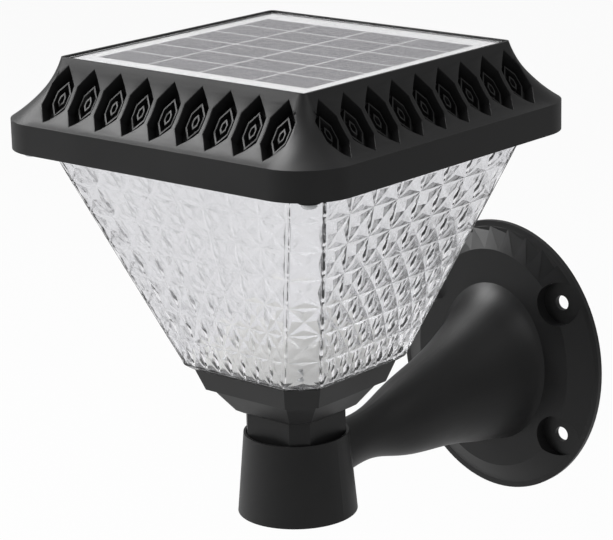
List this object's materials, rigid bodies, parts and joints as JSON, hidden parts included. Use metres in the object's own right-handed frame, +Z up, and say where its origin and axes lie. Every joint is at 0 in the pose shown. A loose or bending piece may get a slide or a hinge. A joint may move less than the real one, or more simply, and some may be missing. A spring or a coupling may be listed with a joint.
{
  "type": "solar wall lantern",
  "caption": "Square solar lantern on a trumpet wall bracket: flared vented roof with solar panel, clear faceted shade, stepped base.",
  "frame": {"origin": "centre of the four wall screw holes, on the wall plate's back face", "axes": "+Y into the wall, +Z up, the lamp stands out towards -Y"},
  "size_m": [0.2, 0.271, 0.269],
  "materials": {
    "roof_black": "satin moulded ABS",
    "base_black": "satin moulded ABS",
    "bracket_black": "satin moulded ABS",
    "inner_black": "matt",
    "panel_white": "pale backing sheet",
    "cell_blue": "silicon under a clear layer",
    "panel_clear": "satin clear layer",
    "clear_shade": "clear moulded shade with a pressed pattern",
    "white_plastic": "white, reflecting",
    "circuit_white": "white solder mask",
    "circuit_green": "green solder mask",
    "chip_black": "matt",
    "led_yellow": "phosphor",
    "battery_blue": "shrink sleeve",
    "contact_metal": "nickel plated",
    "steel": "stainless",
    "foam": "closed-cell foam",
    "button_rubber": "soft"
  },
  "bodies": {
    "bracket": {"wall_bracket": "bracket_black"},
    "head": {"roof_cap": "roof_black", "panel_tape": "foam", "solar_panel": "panel_white", "solar_cells": "cell_blue", "panel_cover": "panel_clear", "tray": "roof_black", "corner_screws": "steel", "shade_seal": "foam", "lamp_carrier": "white_plastic", "diffuser": "clear_shade", "base": "base_black", "base_screws": "steel", "lock_screw": "steel", "lock_washer": "steel", "led_board": "circuit_white", "leds": "led_yellow", "board_screws": "steel", "control_board": "circuit_green", "control_parts": "chip_black", "control_screws": "steel", "battery": "battery_blue", "battery_holder": "inner_black", "battery_contacts": "contact_metal", "switch_body": "inner_black", "switch_spring": "contact_metal"},
    "button": {"switch_button": "button_rubber"}
  },
  "joints": [
    {"name": "head_turn", "type": "hinge", "parent": "bracket", "child": "head", "pos_m": [0, -0.171, 0], "axis": [0, 0, 1], "continuous": true},
    {"name": "button_press", "type": "slide", "parent": "head", "child": "button", "axis": [0, 0, 1], "range_m": [0, 0.0012], "stiffness_N_per_m": 300, "springref_m": -0.001}
  ]
}
